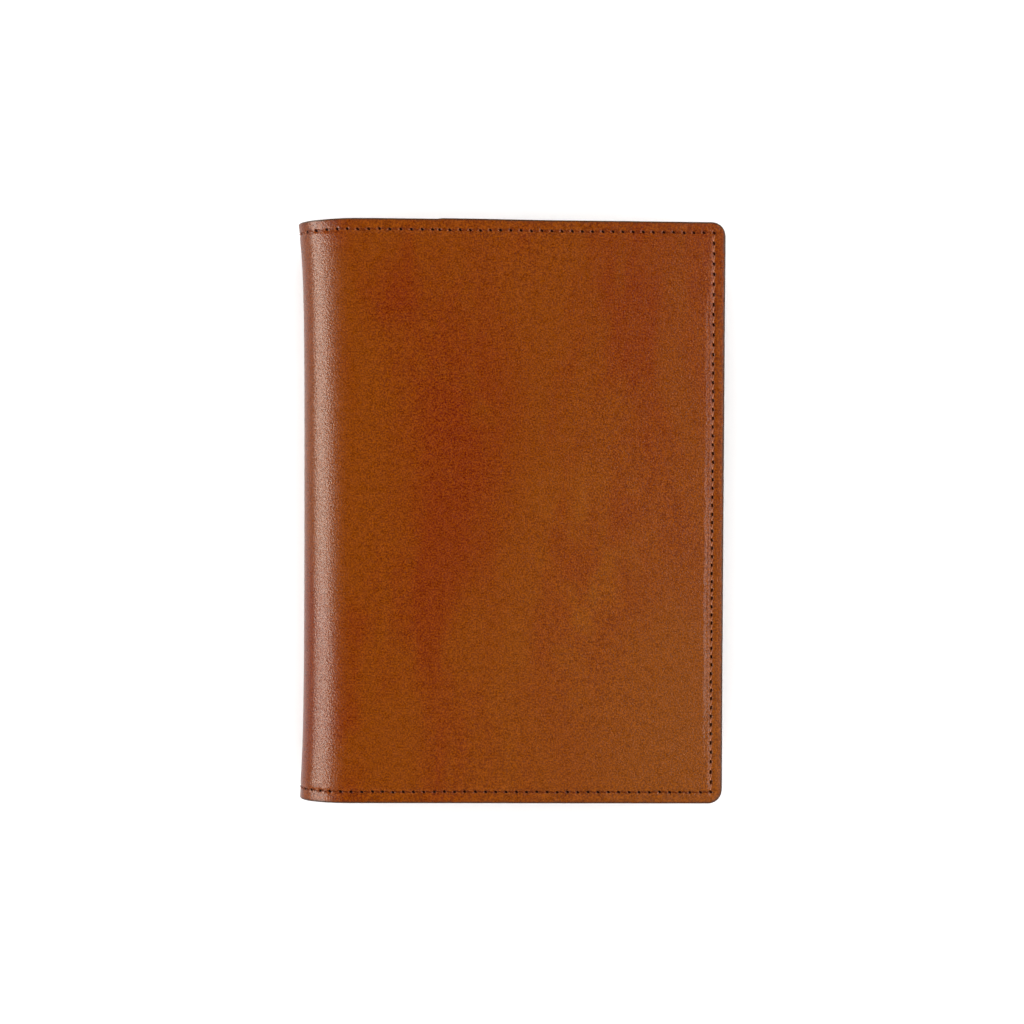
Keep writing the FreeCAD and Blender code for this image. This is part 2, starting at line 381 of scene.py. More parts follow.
def stitch_rows():
    """All rows of holes: their points in order, and the angle at which each slit leans."""
    rows = []
    for y, lean in ((HALF_H - HEAD_MARGIN, HEAD_LEAN), (MARGIN - HALF_H, TAIL_LEAN)):
        rows.append(([(s, y) for s in row_marks(y > 0)], lean))
    for s, lean in zip((FRONT_END - MARGIN, MARGIN - BACK_END), FORE_LEANS):
        rows.append(([(s, y) for y in fore_marks()], lean))
    return rows


def jittered_rows():
    """The rows with a sewing machine's small errors; shared corner holes stay shared."""
    rows = []
    corners = {}
    for points, lean in stitch_rows():
        moved = []
        for i, (s, y) in enumerate(points):
            ds, dy = random.normal(0, HOLE_ERROR, 2)
            key = (round(s, 3), round(y, 3))
            if i in (0, len(points) - 1):
                ds, dy = corners.setdefault(key, (ds, dy))
            moved.append((s + ds, y + dy))
        rows.append((np.array(moved), lean))
    return rows


ROWS = jittered_rows()


def all_slits():
    """Every hole once: its centre, the angle at which its slit leans and its half sizes."""
    slits = {}
    for points, lean in ROWS:
        along_fore = lean in FORE_LEANS
        size = FORE_SLIT if along_fore else ROW_SLIT
        for s, y in points:
            change = LEAN_CHANGE * y * along_fore
            angle = math.radians(lean + change + random.normal(0, LEAN_ERROR))
            slits.setdefault((round(s, 4), round(y, 4)), (s, y, angle, *size))
    return list(slits.values())


SLITS = all_slits()
# rings round a hole: size against the slit's, number of points, depth, and the painted shade that
# darkens the hole
SLIT_RINGS = ((2.0, 16, 0.0, 0.0), (1.2, 16, 0.09, 0.1), (1.0, 14, 0.36, 1.0),
              (0.55, 8, 0.60, 1.0), (0.0, 1, 0.62, 1.0))
# how near a sheet's other points may come to a hole, its outline points and its rim
SLIT_CLEAR = 0.95
LOOP_CLEAR = 0.45
RIM_CLEAR = 0.3


def slit_points(slits):
    """Rings of points round each hole, with how deep each is and how much painted shade it takes.
    """
    places, depths, hole_shades = [np.zeros((0, 2))], [], []
    for s, y, angle, long, wide in slits:
        for scale, count, deep, dark in SLIT_RINGS:
            for i in range(count):
                turn = 2 * math.pi * (i + 0.5) / count
                along = long * scale * math.cos(turn)
                across = wide * scale * math.sin(turn)
                places.append((s + along * math.cos(angle) - across * math.sin(angle),
                               y + along * math.sin(angle) + across * math.cos(angle)))
                depths.append(deep)
                hole_shades.append(dark)
    return np.vstack(places), np.array(depths), np.array(hole_shades)


def distance_to(places):
    """A function that tells how far a point is from the nearest of these."""
    tree = KDTree(len(places))
    for i, (s, y) in enumerate(places):
        tree.insert((s, y, 0), i)
    tree.balance()
    return lambda s, y: tree.find((s, y, 0))[2]


def clear_of(points, slits, loop):
    """Drops the points that would crowd a hole's rings or the outline."""
    to_hole = distance_to([slit[:2] for slit in slits]) if slits else lambda s, y: ANYWHERE
    to_loop = distance_to(loop)
    return points[[to_hole(s, y) >= SLIT_CLEAR and to_loop(s, y) >= LOOP_CLEAR
                   for s, y in points]]


def fore_distance(s):
    return np.where(s < 0, BACK_END, FRONT_END) - np.abs(s)


def head_distance(y):
    return HALF_H - np.abs(y)


ROW_OVERRUN = 0.8  # how far a row's channel runs on past the corner


def row_distance(s, y):
    """Distance to the nearest line of stitches."""
    past_head_row = MARGIN - head_distance(y)
    past_fore_row = MARGIN - fore_distance(s)
    to_head = np.where(past_fore_row > ROW_OVERRUN, ANYWHERE, np.abs(past_head_row))
    to_fore = np.where(past_head_row > ROW_OVERRUN, ANYWHERE, np.abs(past_fore_row))
    return np.minimum(to_head, to_fore)


# ------------------------------------ relief of the leather
# the ridge inside the fore-edge stitching rises in steps: share, and where each begins and ends
RIDGE_STEPS = ((0.38, 3.15, 3.75), (0.36, 4.75, 5.40), (0.26, 3.15, 5.40))
RIDGE = 0.20
RIDGE_TAIL_EXTRA = 0.16
RIDGE_TAIL_FADE = (-8.0, 26.0)
RIDGE_END_FADE = (5, 34)
END_PRESS = 0.12
END_BAND = (2.6, 5.2)
CHANNEL = (0.12, 0.5)  # depth and half width of the groove along a row
STILL_SPINE = (14, 30)  # the waves begin between these distances from the crown
WAVE_MEAN = 0.05


def outer_relief(s, y):
    """How far the outer face is pressed in: margins, stitch channel and slow waves."""
    wander = 0.12 * np.sin(y / 3.3 + 2 * np.sin(y / 7.9)) + 0.07 * np.sin(y / 1.3)
    fore_gap = fore_distance(s) + wander
    fore = 1 - sum(share * smoothstep(fore_gap, *span) for share, *span in RIDGE_STEPS)
    strong = RIDGE + RIDGE_TAIL_EXTRA * (1 - smoothstep(y, *RIDGE_TAIL_FADE))
    fore = fore * smoothstep(head_distance(y), *RIDGE_END_FADE)
    ends = 1 - smoothstep(head_distance(y), *END_BAND)
    channel = CHANNEL[0] * np.exp(-(row_distance(s, y) / CHANNEL[1]) ** 2)
    wave = 0.05 * np.sin(s / 9.7 + 1.3 * np.sin(y / 31.0)) * np.cos(y / 17.0 + s / 41.0)
    ripple = 0.012 * np.sin(y / 2.3 + 2 * np.sin(s / 5.1)) * ends
    moving = (wave + ripple + WAVE_MEAN) * smoothstep(np.abs(s), *STILL_SPINE)
    return fore * strong + END_PRESS * ends * (1 - fore) + channel + moving


def flat_depth(level):
    return lambda s, y: np.full(len(s), level, float)


def bevel(radius, steps):
    """Insets and depths of a rounded edge, from the face to the side."""
    turns = [math.pi / 2 * i / steps for i in range(1, steps + 1)]
    return [(radius * (1 - math.sin(t)), radius * (1 - math.cos(t))) for t in turns]


# ------------------------------------ sheets
# columns of points on and beside a cut: where, how far apart, how far from head and tail they
# begin and end, and how near to the cut other points may come
CUT_COLUMNS = (-0.05, 0.0, 0.05)
CUT_STEP = 0.6
CUT_ENDS = (1.2, 1.1)
CUT_CLEAR = 0.2
# steps of the rounded upper and lower edges, and how much paint the upper ones take on: the
# first, and each further one
EDGE_STEPS = (4, 2)
FIRST_PAINT = 0.25
MORE_PAINT = 0.375


def build_sheet(low_s, high_s, half_y, radii, top, bottom, rounding, place, size_at, cuts=(),
                top_slits=(), bottom_slits=(), loop_paint=0.0):
    """A closed sheet between two depth functions, as points, faces and attributes. Rounding
    holds the radii of its upper and lower edges."""
    stations = outline(low_s, high_s, half_y, *radii, cuts)
    count = len(stations)
    round_r, under_r = rounding

    def face_block(inset, depth_at, slits, flip):
        """One face's points, outline first, their depth and painted hole shade, and its
        triangles.
        """
        loop = rim(stations, inset)
        field = grid(low_s + inset, high_s - inset, half_y - inset, size_at)
        inside = clear_of(field, slits, loop)
        square = (np.abs(inside[:, 1]) < half_y - inset - RIM_CLEAR)
        square &= inside[:, 0] > low_s + inset + RIM_CLEAR
        square &= inside[:, 0] < high_s - inset - RIM_CLEAR
        for end, radius in ((low_s, radii[0]), (high_s, radii[1])):
            past_s = radius - np.abs(inside[:, 0] - end)
            past_y = np.abs(inside[:, 1]) - half_y + radius
            corner = (past_s > 0) & (past_y > 0)
            square &= ~(corner & (np.hypot(past_s, past_y) > radius - inset - RIM_CLEAR))
        inside = inside[square]
        columns = []
        for cut in cuts:
            span = np.arange(inset - half_y + CUT_ENDS[0], half_y - inset - CUT_ENDS[1], CUT_STEP)
            columns += [np.column_stack([np.full(len(span), cut + gap), span])
                        for gap in CUT_COLUMNS]
            inside = inside[np.abs(inside[:, 0] - cut) > CUT_CLEAR]
        plain = np.vstack([inside, *columns])
        # dark is the painted shade in the stitch holes
        places, pressed, dark = slit_points(slits)
        inner = np.vstack([plain, places])
        points = np.vstack([loop, inner])
        untouched = np.zeros(count + len(plain))
        pressed = np.concatenate([untouched, pressed])
        dark = np.concatenate([untouched, dark])
        depth = depth_at(*points.T) + (-pressed if flip else pressed)
        return points, depth, dark, triangulate(loop, inner)

    *top_block, top_faces = face_block(round_r, top, top_slits, False)
    *low_block, low_faces = face_block(under_r, bottom, bottom_slits, True)
    top_paint = np.zeros(len(top_block[0]))
    top_paint[:count] = loop_paint
    blocks = [(*top_block, top_paint)]
    edge_rings = [(inset, top, deep, loop_paint + FIRST_PAINT + MORE_PAINT * i)
                  for i, (inset, deep) in enumerate(bevel(round_r, EDGE_STEPS[0]))]
    edge_rings += [(inset, bottom, -deep, 1.0)
                   for inset, deep in bevel(under_r, EDGE_STEPS[1])[::-1]]
    for inset, depth_at, deep, paint in edge_rings:
        points = rim(stations, inset)
        blocks.append((points, depth_at(*points.T) + deep, np.zeros(count),
                       np.full(count, min(1.0, paint))))
    blocks.append((*low_block, np.zeros(len(low_block[0]))))
    starts = [0]
    for block in blocks[:-1]:
        starts.append(starts[-1] + len(block[0]))
    low = starts[-1]
    faces = top_faces + [(a + low, c + low, b + low) for a, b, c in low_faces]
    for near, far in zip(starts, starts[1:]):
        for i in range(count):
            j = (i + 1) % count
            faces.append((near + i, far + i, far + j, near + j))
    flat = np.vstack([block[0] for block in blocks])
    depth = np.concatenate([block[1] for block in blocks])
    # the hole attribute is painted shade in the stitch holes
    hole = np.concatenate([block[2] for block in blocks])
    paint = np.concatenate([block[3] for block in blocks])
    points = place(flat[:, 0], flat[:, 1], depth)
    surf = np.column_stack([flat, depth]) * MM
    return points, faces, {"surf": surf, "hole": hole, "paint": paint}


def part_of(points, faces, attributes, low, high):
    """The faces of a sheet whose middle lies between two developed distances."""
    s = attributes["surf"][:, 0] / MM
    kept = [face for face in faces if low < sum(s[i] for i in face) / len(face) < high]
    used = sorted({i for face in kept for i in face})
    number = {old: new for new, old in enumerate(used)}
    fresh = {key: values[used] for key, values in attributes.items()}
    return points[used], [tuple(number[i] for i in face) for face in kept], fresh


def three_parts(stem, sheet, material, cut, node, closed=True):
    """Cuts a sheet at the spine into three parts, each its own object. Node is the
    first part of the names of the CAD nodes that it replaces."""
    replaced = {"back": (f"{node}_back", f"{node}_spine_lower"),
                "front": (f"{node}_front", f"{node}_spine_upper")}
    limits = (-ANYWHERE, -cut, cut, ANYWHERE)
    for (name, bend_part), low, high in zip(PARTS, limits, limits[1:]):
        piece = new_object(f"{stem}_{name}", *part_of(*sheet, low, high), material)
        if closed:
            close_ends(piece)
        bend_part(piece)
        if name in replaced:
            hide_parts(*replaced[name])


# ------------------------------------ thread
THREAD_R = 0.17
THREAD_SIDES = 8
THREAD_STEPS = 14
THREAD_SLANT = 0.16
THREAD_DIP = 0.50
PLY_RELIEF = 0.09
PLY_TWIST = 5
# painted highlight on each stitch: how much at the stitch's end, how far it reaches, and where
# along the stitch the fainter highlight of the other end would be greatest, which is just past
# that end
GLINT = 0.9
GLINT_REACH = 0.62
GLINT_FAR = 1.3
# for the head, tail, front and back rows: how far a stitch starts from the middle of its hole,
# and the painted light of the whole row; below 0 it is painted shade, and the painted highlight
# sits at its end instead of its start
THREAD_GAP = (0.36, 0.36, 0.46, 0.46)
ROW_PAINTED_LIGHT = (-0.08, -0.40, 0.45, 0.45)


def stitch_tube(start, end, height_at, inward, lift, pale, gap):
    """One stitch as a twisted tube in developed coordinates, dipping into both holes. It carries
    a painted highlight, most at one end and a little at the other, over its row's painted light
    or shade. Inward is true for the inner side, where a stitch stands out of the leather towards
    greater depth."""
    a, b = np.array(start), np.array(end)
    length = float(np.linalg.norm(b - a))
    along = (b - a) / length
    across = np.array([-along[1], along[0]])
    rings, info = [], []
    for i in range(THREAD_STEPS + 1):
        t = i / THREAD_STEPS
        reach = gap + t * (length - 2 * gap)
        slant = THREAD_SLANT * math.cos(math.pi * t)
        middle = a + along * reach + across * slant
        rise = lift - THREAD_DIP * (abs(2 * t - 1) ** 6)
        toward_glint = 1 - t if pale < 0 else t
        from_glint = min(toward_glint, GLINT_FAR - toward_glint) * length / GLINT_REACH
        thread_light = pale + GLINT * math.exp(-(from_glint ** 2))
        base = float(height_at(middle[:1], middle[1:])[0])
        for k in range(THREAD_SIDES):
            angle = 2 * math.pi * k / THREAD_SIDES
            ply = math.cos(2 * (angle - PLY_TWIST * reach))
            radius = THREAD_R * (1 + PLY_RELIEF * ply)
            spot = middle + across * radius * math.cos(angle)
            up = rise + radius * math.sin(angle)
            rings.append((spot[0], spot[1], base + up if inward else base - up))
            info.append((reach, angle * THREAD_R, min(1.0, thread_light)))
    return rings, info


def stitch_faces(offset, flip):
    """The faces of one stitch whose points begin at this number."""
    faces = []
    for i in range(THREAD_STEPS):
        for k in range(THREAD_SIDES):
            a = offset + i * THREAD_SIDES + k
            b = offset + i * THREAD_SIDES + (k + 1) % THREAD_SIDES
            face = (a, b, b + THREAD_SIDES, a + THREAD_SIDES)
            faces.append(face[::-1] if flip else face)
    first = tuple(offset + k for k in range(THREAD_SIDES))
    last = tuple(offset + THREAD_STEPS * THREAD_SIDES + k for k in range(THREAD_SIDES))
    faces.append(first if flip else first[::-1])
    faces.append(last[::-1] if flip else last)
    return faces


def build_thread(height_at, inward, lift, skip=lambda a, b: False):
    """All stitches on one side of the leather, each kept whole in one part."""
    flat, info, faces, seam = [], [], [], []
    for (points, _), pale, gap in zip(ROWS, ROW_PAINTED_LIGHT, THREAD_GAP):
        for start, end in zip(points, points[1:]):
            if skip(start, end):
                continue
            rings, ring_info = stitch_tube(start, end, height_at, inward, lift, pale, gap)
            faces += stitch_faces(len(flat), inward)
            flat += rings
            info += ring_info
            seam += [(start[0] + end[0]) / 2] * len(rings)  # decides the part it goes to
    flat = np.array(flat)
    shown = place_leather(flat[:, 0], flat[:, 1], flat[:, 2])
    surf = np.column_stack([np.array(seam), flat[:, 1], flat[:, 2]]) * MM
    info = np.array(info)
    return shown, faces, {"surf": surf, "ply": info * (MM, MM, 0), "pale": info[:, 2]}


# ------------------------------------ node materials
class Material:
    """A short way to write one material's nodes."""

    def __init__(self, name):
        self.made = bpy.data.materials.new(name)
        self.made.use_nodes = True
        self.tree = self.made.node_tree
        self.tree.nodes.clear()
        self.output = self.tree.nodes.new("ShaderNodeOutputMaterial")

    def add(self, kind, sockets=None, **settings):
        node = self.tree.nodes.new("ShaderNode" + kind)
        for key, value in settings.items():
            setattr(node, key, value)
        for key, value in (sockets or {}).items():
            if isinstance(value, bpy.types.NodeSocket):
                self.tree.links.new(value, node.inputs[key])
            else:
                node.inputs[key].default_value = value
        return node

    def attribute(self, name, output="Vector"):
        return self.add("Attribute", attribute_name=name).outputs[output]

    def maths(self, operation, *values):
        return self.add("Math", dict(enumerate(values)), operation=operation).outputs[0]

    def stretch(self, vector, scale, location=(0, 0, 0)):
        return self.add("Mapping", {"Vector": vector, "Scale": scale,
                                    "Location": location}).outputs[0]

    def noise(self, vector, scale, detail=3.0, roughness=0.5, distortion=0.0):
        return self.add("TexNoise", {"Vector": vector, "Scale": scale, "Detail": detail,
                                     "Roughness": roughness,
                                     "Distortion": distortion}).outputs[0]

    def cells(self, vector, scale):
        return self.add("TexVoronoi", {"Vector": vector, "Scale": scale}).outputs["Distance"]

    def ramp(self, value, low, high, new_low=0.0, new_high=1.0):
        return self.add("MapRange", {"Value": value, "From Min": low, "From Max": high,
                                     "To Min": new_low, "To Max": new_high},
                        interpolation_type="SMOOTHSTEP").outputs[0]

    def mix(self, factor, first, second):
        node = self.add("Mix", {0: factor}, data_type="RGBA")
        for index, value in ((6, first), (7, second)):
            if isinstance(value, bpy.types.NodeSocket):
                self.tree.links.new(value, node.inputs[index])
            else:
                node.inputs[index].default_value = (*value, 1.0)
        return node.outputs[2]

    def vectors(self, operation, first, second):
        return self.add("VectorMath", {0: first, 1: second}, operation=operation).outputs[0]

    def scaled(self, colour, factor):
        """The colour times a number at each point."""
        return self.add("VectorMath", {0: colour, "Scale": factor},
                        operation="SCALE").outputs[0]

    def patch(self, vector, centre, size):
        """1 in the middle of a soft oval patch, falling to 0 at its border."""
        moved = self.vectors("SUBTRACT", vector, centre)
        shaped = self.vectors("MULTIPLY", moved, tuple(1 / v for v in size))
        length = self.add("VectorMath", {0: shaped}, operation="LENGTH").outputs["Value"]
        return self.ramp(length, 1.0, 0.0)

    def bump(self, height, strength, distance, normal=None):
        sockets = {"Height": height, "Strength": strength, "Distance": distance}
        if normal is not None:
            sockets["Normal"] = normal
        return self.add("Bump", sockets).outputs[0]

    def holes(self, colour):
        """The colour, with painted shade darkening it down in the stitch holes."""
        return self.mix(self.ramp(self.attribute("hole", "Fac"), 0.1, 0.8), colour, HOLE_SHADE)

    def paint_and_hole_shade(self, colour):
        """The colour, with the edge paint over it and painted shade in the holes."""
        paint = self.ramp(self.attribute("paint", "Fac"), 0.2, 0.8)
        return self.holes(self.mix(paint, colour, EDGE_PAINT))

    def finish(self, **sockets):
        """The material, with these sockets of its shader set."""
        shader = self.add("BsdfPrincipled",
                          {key.replace("_", " "): value for key, value in sockets.items()})
        self.tree.links.new(shader.outputs[0], self.output.inputs["Surface"])
        return self.made


TAN = (0.170, 0.0334, 0.0002)
RED_BROWN = (0.156, 0.0212, 0.0002)
GOLD = (0.203, 0.0500, 0.0012)
DUSTY = (0.179, 0.0436, 0.0032)
GRAIN = (0.078, 0.0200, 0.0)  # how far the grain moves the colour, to either side
EDGE_PAINT = (0.052, 0.0185, 0.0078)
# painted shade inside the stitch holes
HOLE_SHADE = (0.026, 0.0028, 0.0010)
SUEDE = ((0.20, 0.062, 0.020), (0.245, 0.082, 0.028))
POCKET_TAN = ((0.205, 0.045, 0.004), (0.235, 0.062, 0.008))
# the thread's two browns; the darker one is painted shade in the folds between the plies
THREAD_BROWN = ((0.105, 0.0150, 0.0015), (0.180, 0.0300, 0.0030))
# painted highlight on the stitches beside the holes
THREAD_HIGHLIGHT = (0.480, 0.1950, 0.1000)
CARD_BROWN = ((0.040, 0.028, 0.022), (0.062, 0.045, 0.036))
CARD_RUBBED = (0.11, 0.085, 0.07)
IVORY = ((0.512, 0.463, 0.363), (0.530, 0.481, 0.381))
LEAF_SHADE = (0.27, 0.21, 0.14)
FLOOR_WHITE = ((0.90, 0.90, 0.90), (0.915, 0.915, 0.915))
FLOOR_GLOW = 0.12


def outer_leather():
    """Glazed bridle leather: cloudy dye, fine pebbled grain, dark painted edges, and painted
    shade in the holes.
    """
    m = Material("outer_leather")
    surf = m.attribute("surf")
    clouds = m.noise(m.stretch(surf, (34, 12, 1)), 1.0, 4, 0.55, 0.4)
    blotch = m.noise(m.stretch(surf, (90, 60, 1), (3, 1, 0)), 1.0, 4, 0.6, 0.3)
    coarse = m.noise(surf, 420.0, 3, 0.6)
    fine = m.noise(surf, 2300.0, 3, 0.65)

    red_patch = m.patch(surf, (0.0495, 0.022, 0), (0.027, 0.082, 1))
    gold_patch = m.patch(surf, (0.0860, -0.020, 0), (0.034, 0.055, 1))
    colour = m.mix(m.ramp(clouds, 0.44, 0.66), TAN, RED_BROWN)
    colour = m.mix(m.maths("MULTIPLY", red_patch, m.ramp(blotch, 0.25, 0.6)),
                   colour, RED_BROWN)
    colour = m.mix(m.maths("MULTIPLY", gold_patch, m.ramp(blotch, 0.4, 0.7)), colour, GOLD)
    faded = m.patch(surf, (0.125, -0.075, 0), (0.120, 0.130, 1))
    colour = m.mix(faded, colour, DUSTY)
    colour = m.scaled(colour, m.ramp(coarse, 0.3, 0.7, 0.94, 1.06))
    grain = m.scaled(GRAIN, m.ramp(fine, 0.32, 0.68, -1.0, 1.0))
    colour = m.vectors("ADD", colour, grain)

    painted = m.maths("ADD", m.attribute("paint", "Fac"), m.ramp(coarse, 0.3, 0.7, -0.12, 0.12))
    # edge paint, then painted shade in the stitch holes
    colour = m.holes(m.mix(m.ramp(painted, 0.3, 0.75), colour, EDGE_PAINT))

    pebbles = m.cells(surf, 2300.0)
    creases = m.noise(surf, 2100.0, 2, 0.5, 0.2)
    height = m.maths("ADD", m.maths("MULTIPLY", pebbles, -0.7), m.maths("MULTIPLY", creases, 0.5))
    normal = m.bump(height, 0.55, 0.00014)
    normal = m.bump(m.noise(surf, 3600.0, 2, 0.6), 0.18, 0.00004, normal)
    roughness = m.maths("ADD", m.ramp(coarse, 0.3, 0.7, 0.265, 0.32),
                        m.maths("MULTIPLY", m.attribute("hole", "Fac"), 0.5))
    return m.finish(Base_Color=colour, Roughness=roughness, Normal=normal,
                    Specular_IOR_Level=0.2)


def suede_lining():
    """Split leather with a short nap, glued to the back of the outer sheet."""
    m = Material("lining_leather")
    surf = m.attribute("surf")
    nap = m.noise(m.stretch(surf, (700, 500, 700)), 1.0, 6, 0.7, 0.5)
    cloud = m.noise(surf, 40.0, 3)
    colour = m.mix(m.ramp(cloud, 0.35, 0.65), *SUEDE)
    # edge paint, and painted shade in any stitch holes
    colour = m.paint_and_hole_shade(m.scaled(colour, m.ramp(nap, 0.3, 0.7, 0.8, 1.2)))
    return m.finish(Base_Color=colour, Roughness=0.85, Normal=m.bump(nap, 0.5, 0.0002),
                    Sheen_Weight=0.25, Sheen_Roughness=0.5)


def pocket_leather():
    """The outer leather again, plain and a little duller, with its own grain."""
    m = Material("pocket_leather")
    surf = m.attribute("surf")
    cloud = m.noise(m.stretch(surf, (28, 18, 1), (7, 2, 0)), 1.0, 4, 0.55, 0.4)
    fine = m.noise(surf, 1300.0, 3, 0.65)
    colour = m.mix(m.ramp(cloud, 0.35, 0.65), *POCKET_TAN)
    # edge paint, and painted shade in the stitch holes
    colour = m.paint_and_hole_shade(m.scaled(colour, m.ramp(fine, 0.3, 0.7, 0.86, 1.14)))
    pebbles = m.cells(m.stretch(surf, (1100, 950, 1100)), 1.0)
    normal = m.bump(m.maths("ADD", pebbles, fine), 0.35, 0.00015)
    return m.finish(Base_Color=colour, Roughness=m.ramp(fine, 0.3, 0.7, 0.44, 0.54),
                    Normal=normal, Specular_IOR_Level=0.5)


def waxed_thread():
    """Twisted polyester, waxed: slanting plies with painted shade in the folds between them,
    painted highlights beside the holes, and painted light or shade over each row.
    """
    m = Material("thread")
    ply = m.attribute("ply")
    bands = m.add("TexWave", {"Vector": m.stretch(ply, (1, -1, 1)), "Scale": 900.0,
                              "Distortion": 0.6, "Detail": 2.0, "Detail Scale": 3.0},
                  bands_direction="DIAGONAL").outputs["Fac"]
    fibres = m.noise(m.stretch(ply, (2500, 9000, 1)), 1.0, 3)
    # painted shade in the folds between the plies
    colour = m.mix(m.ramp(bands, 0.1, 0.8), *THREAD_BROWN)
    pale = m.attribute("pale", "Fac")
    # painted shade over the darker rows, then the painted highlight beside the holes
    colour = m.scaled(colour, m.ramp(pale, -0.45, 0.0, 0.62, 1.0))
    colour = m.mix(m.ramp(pale, 0.0, 1.0), colour, THREAD_HIGHLIGHT)
    colour = m.scaled(colour, m.ramp(fibres, 0.3, 0.7, 0.8, 1.2))
    normal = m.bump(m.maths("ADD", bands, m.maths("MULTIPLY", fibres, 0.4)), 0.6, 0.00006)
    return m.finish(Base_Color=colour, Roughness=m.ramp(fibres, 0.3, 0.7, 0.46, 0.58),
                    Normal=normal, Specular_IOR_Level=0.08)


def cover_card():
    """Uncoated dark card, with short paper fibres."""
    m = Material("notebook_card")
    surf = m.attribute("surf")
    fibres = m.noise(m.stretch(surf, (900, 260, 900)), 1.0, 6, 0.7, 1.5)
    rub = m.noise(surf, 60.0, 4)
    colour = m.mix(m.ramp(fibres, 0.3, 0.7), *CARD_BROWN)
    colour = m.mix(m.ramp(rub, 0.60, 0.75, 0.0, 0.3), colour, CARD_RUBBED)
    return m.finish(Base_Color=colour, Roughness=0.78, Normal=m.bump(fibres, 0.25, 0.0001))


def paper(name, stripes):
    """Ivory writing paper; a block of it shows the edges of its leaves."""
    m = Material(name)
    place = m.add("TexCoord").outputs["Object"]
    tooth = m.noise(place, 2200.0, 4, 0.6)
    cloud = m.noise(place, 90.0, 3)
    colour = m.mix(m.ramp(cloud, 0.3, 0.7), *IVORY)
    height = tooth
    if stripes:
        leaves = m.noise(m.stretch(place, (70, 55, 9500)), 1.0, 2, 0.6)
        facing = m.add("SeparateXYZ", {0: m.add("TexCoord").outputs["Normal"]}).outputs["Z"]
        edge = m.ramp(m.maths("ABSOLUTE", facing), 0.9, 0.6)
        shade = m.maths("MULTIPLY", m.ramp(leaves, 0.62, 0.38), edge)
        colour = m.mix(m.maths("MULTIPLY", shade, 0.75), colour, LEAF_SHADE)
        height = m.maths("ADD", tooth, m.maths("MULTIPLY", shade, -4.0))
    return m.finish(Base_Color=colour, Roughness=0.88, Normal=m.bump(height, 0.25, 0.00008))


def floor_surface():
    """Plain white; it glows a little, so that it stays white in the cover's shadow."""
    m = Material("floor")
    place = m.add("TexCoord").outputs["Object"]
    cloud = m.noise(place, 3.0, 3)
    colour = m.mix(m.ramp(cloud, 0.3, 0.7), *FLOOR_WHITE)
    return m.finish(Base_Color=colour, Roughness=0.7, Emission_Color=(1, 1, 1, 1),
                    Emission_Strength=FLOOR_GLOW,
                    Normal=m.bump(m.noise(place, 400.0, 2), 0.05, 0.0003))


OUTER_MATERIAL = outer_leather()
LINING_MATERIAL = suede_lining()
POCKET_MATERIAL = pocket_leather()
THREAD_MATERIAL = waxed_thread()
CARD_MATERIAL = cover_card()
LEAVES_MATERIAL = paper("page_block", True)
PLAIN_PAPER = paper("plain_paper", False)


# ------------------------------------ outer leather
OUTER_EDGES = (0.4, 0.12)
OUTER_RIM_PAINT = 0.6
OUTER_LIFT = 0.02
STITCH_BAND = 0.9  # points are closest together within this distance of a row
SIZE_GROWTH = 0.42
FINEST = 0.3
RIDGE_MIDDLE = 4.8
RIDGE_HALF = 1.4
BOTH_CORNERS = (CORNER_R, CORNER_R)


def outer_size(s, y):
    """Wanted spacing of points: fine along the stitching and the pressed margins."""
    size = FINEST + SIZE_GROWTH * np.maximum(row_distance(s, y) - STITCH_BAND, 0)
    on_ridge = np.abs(fore_distance(s) - RIDGE_MIDDLE) < RIDGE_HALF
    return np.clip(np.where(on_ridge, FINEST, size), FINEST, COARSE)


def curve_size(s, y):
    """Fine enough for the curve of the spine."""
    return np.where(np.abs(s) < FRONT_FLAT_S + 1, CURVED, COARSE)


def spine_size(s, y):
    return np.minimum(outer_size(s, y), curve_size(s, y))


outer_sheet = build_sheet(
    -BACK_END, FRONT_END, HALF_H, BOTH_CORNERS, outer_relief, flat_depth(OUTER[1]),
    OUTER_EDGES, place_leather, spine_size, cuts=(-CUT_S, CUT_S), top_slits=SLITS,
    loop_paint=OUTER_RIM_PAINT)
three_parts("outer_skin", outer_sheet, OUTER_MATERIAL, CUT_S, "outer")

outer_thread = build_thread(outer_relief, False, OUTER_LIFT)
three_parts("stitching_outside", outer_thread, THREAD_MATERIAL, CUT_S, "thread_outside",
            closed=False)


# ------------------------------------ lining
LINING_EDGES = (0.1, 0.12)

lining_sheet = build_sheet(
    -BACK_END, FRONT_END, HALF_H, BOTH_CORNERS, flat_depth(LINING[0]), flat_depth(LINING[1]),
    LINING_EDGES, place_leather, curve_size, cuts=(-CUT_S, CUT_S))
three_parts("lining_skin", lining_sheet, LINING_MATERIAL, CUT_S, "lining")


# ------------------------------------ pockets
SEWN_RIM = (3.6, 6.8)  # the pocket lifts off the lining between these distances to the edge
POCKET_EDGES = (0.12, 0.3)
POCKET_CHANNEL = (0.10, 0.55)
MOUTH_R = 0.6
MOUTH_CLEAR = 1.0  # holes nearer to the ends of a pocket than this are left out of it


def pocket_lift(s, y):
    """How far the notebook's card inside lifts the pocket off the lining."""
    from_sewn = np.minimum(fore_distance(s), head_distance(y))
    return POCKET_LIFT * smoothstep(from_sewn, *SEWN_RIM)


def pocket_top(s, y):
    return LINING[1] + POCKET_GAP + pocket_lift(s, y)


def pocket_face(s, y):
    """The side of the pocket that faces the pages, pressed in along its stitches."""
    channel = POCKET_CHANNEL[0] * np.exp(-(row_distance(s, y) / POCKET_CHANNEL[1]) ** 2)
    return pocket_top(s, y) + POCKET_LEATHER - channel


